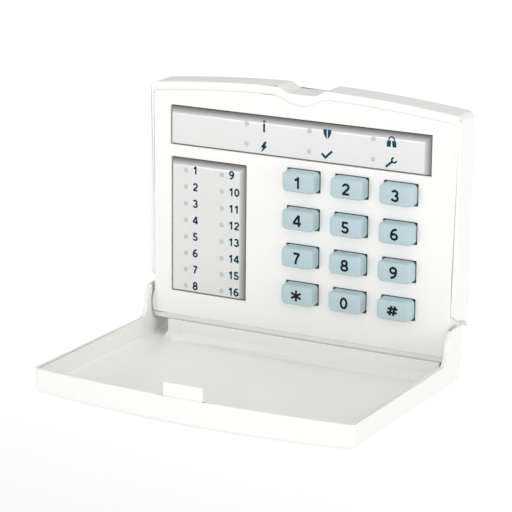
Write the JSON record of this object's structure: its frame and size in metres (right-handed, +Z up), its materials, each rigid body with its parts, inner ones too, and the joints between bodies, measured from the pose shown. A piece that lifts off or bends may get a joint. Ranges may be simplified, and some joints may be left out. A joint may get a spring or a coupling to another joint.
{
  "type": "alarm keypad panel",
  "caption": "Wall-mounted alarm keypad: arched white housing with indicator windows, a block of rubber keys and a drop-down lid hanging open on side pivots.",
  "frame": {"origin": "centre of the flat rear mounting face of the wall plate, halfway up the housing and midway across it", "axes": "+X to the right as the user sees the keys, +Y into the wall, +Z up"},
  "size_m": [0.145, 0.1128, 0.1187],
  "materials": {
    "white_plastic": "satin moulded ABS",
    "base_plastic": "fine-textured moulded ABS",
    "window_diffuser": "light grey diffuser plastic, satin",
    "led_lens": "unlit frosted lens",
    "key_silicone": "pale blue-grey silicone, satin",
    "mat_silicone": "silicone sheet",
    "board_laminate": "solder-masked laminate",
    "terminal_plastic": "moulded polyamide",
    "black_plastic": "moulded plastic",
    "screw_steel": "zinc-plated"
  },
  "bodies": {
    "root": {"front_housing": "white_plastic", "rear_base": "base_plastic", "status_window": "window_diffuser", "zone_window": "window_diffuser", "zone_led_1": "led_lens", "zone_led_2": "led_lens", "zone_led_3": "led_lens", "zone_led_4": "led_lens", "zone_led_5": "led_lens", "zone_led_6": "led_lens", "zone_led_7": "led_lens", "zone_led_8": "led_lens", "zone_led_9": "led_lens", "zone_led_10": "led_lens", "zone_led_11": "led_lens", "zone_led_12": "led_lens", "zone_led_13": "led_lens", "zone_led_14": "led_lens", "zone_led_15": "led_lens", "zone_led_16": "led_lens", "status_led_1": "led_lens", "status_led_2": "led_lens", "status_led_3": "led_lens", "status_led_4": "led_lens", "status_led_5": "led_lens", "status_led_6": "led_lens", "key_mat": "mat_silicone", "circuit_board": "board_laminate", "terminal_block": "terminal_plastic", "terminal_screw_1": "screw_steel", "terminal_screw_2": "screw_steel", "terminal_screw_3": "screw_steel", "terminal_screw_4": "screw_steel", "buzzer": "black_plastic", "tamper_switch": "black_plastic", "board_screw_1": "screw_steel", "board_screw_2": "screw_steel", "board_screw_3": "screw_steel", "board_screw_4": "screw_steel", "housing_screw": "screw_steel"},
    "lid": {"lid": "white_plastic"},
    "tamper_plunger": {"tamper_plunger": "base_plastic"},
    "key_1": {"key_1": "key_silicone"},
    "key_2": {"key_2": "key_silicone"},
    "key_3": {"key_3": "key_silicone"},
    "key_4": {"key_4": "key_silicone"},
    "key_5": {"key_5": "key_silicone"},
    "key_6": {"key_6": "key_silicone"},
    "key_7": {"key_7": "key_silicone"},
    "key_8": {"key_8": "key_silicone"},
    "key_9": {"key_9": "key_silicone"},
    "key_star": {"key_star": "key_silicone"},
    "key_0": {"key_0": "key_silicone"},
    "key_hash": {"key_hash": "key_silicone"}
  },
  "joints": [
    {"name": "lid_hinge", "type": "hinge", "parent": "root", "child": "lid", "pos_m": [0, -0.0104, -0.0482], "axis": [-1, 0, 0], "range_deg": [0, 90]},
    {"name": "key_1_press", "type": "slide", "parent": "root", "child": "key_1", "axis": [0, 1, 0], "range_m": [0, 0.0014], "stiffness_N_per_m": 300, "springref_m": -0.0006},
    {"name": "key_2_press", "type": "slide", "parent": "root", "child": "key_2", "axis": [0, 1, 0], "range_m": [0, 0.0014], "stiffness_N_per_m": 300, "springref_m": -0.0006},
    {"name": "key_3_press", "type": "slide", "parent": "root", "child": "key_3", "axis": [0, 1, 0], "range_m": [0, 0.0014], "stiffness_N_per_m": 300, "springref_m": -0.0006},
    {"name": "key_4_press", "type": "slide", "parent": "root", "child": "key_4", "axis": [0, 1, 0], "range_m": [0, 0.0014], "stiffness_N_per_m": 300, "springref_m": -0.0006},
    {"name": "key_5_press", "type": "slide", "parent": "root", "child": "key_5", "axis": [0, 1, 0], "range_m": [0, 0.0014], "stiffness_N_per_m": 300, "springref_m": -0.0006},
    {"name": "key_6_press", "type": "slide", "parent": "root", "child": "key_6", "axis": [0, 1, 0], "range_m": [0, 0.0014], "stiffness_N_per_m": 300, "springref_m": -0.0006},
    {"name": "key_7_press", "type": "slide", "parent": "root", "child": "key_7", "axis": [0, 1, 0], "range_m": [0, 0.0014], "stiffness_N_per_m": 300, "springref_m": -0.0006},
    {"name": "key_8_press", "type": "slide", "parent": "root", "child": "key_8", "axis": [0, 1, 0], "range_m": [0, 0.0014], "stiffness_N_per_m": 300, "springref_m": -0.0006},
    {"name": "key_9_press", "type": "slide", "parent": "root", "child": "key_9", "axis": [0, 1, 0], "range_m": [0, 0.0014], "stiffness_N_per_m": 300, "springref_m": -0.0006},
    {"name": "key_star_press", "type": "slide", "parent": "root", "child": "key_star", "axis": [0, 1, 0], "range_m": [0, 0.0014], "stiffness_N_per_m": 300, "springref_m": -0.0006},
    {"name": "key_0_press", "type": "slide", "parent": "root", "child": "key_0", "axis": [0, 1, 0], "range_m": [0, 0.0014], "stiffness_N_per_m": 300, "springref_m": -0.0006},
    {"name": "key_hash_press", "type": "slide", "parent": "root", "child": "key_hash", "axis": [0, 1, 0], "range_m": [0, 0.0014], "stiffness_N_per_m": 300, "springref_m": -0.0006},
    {"name": "tamper_press", "type": "slide", "parent": "root", "child": "tamper_plunger", "axis": [0, -1, 0], "range_m": [0, 0.0008], "stiffness_N_per_m": 250, "springref_m": -0.0008}
  ]
}
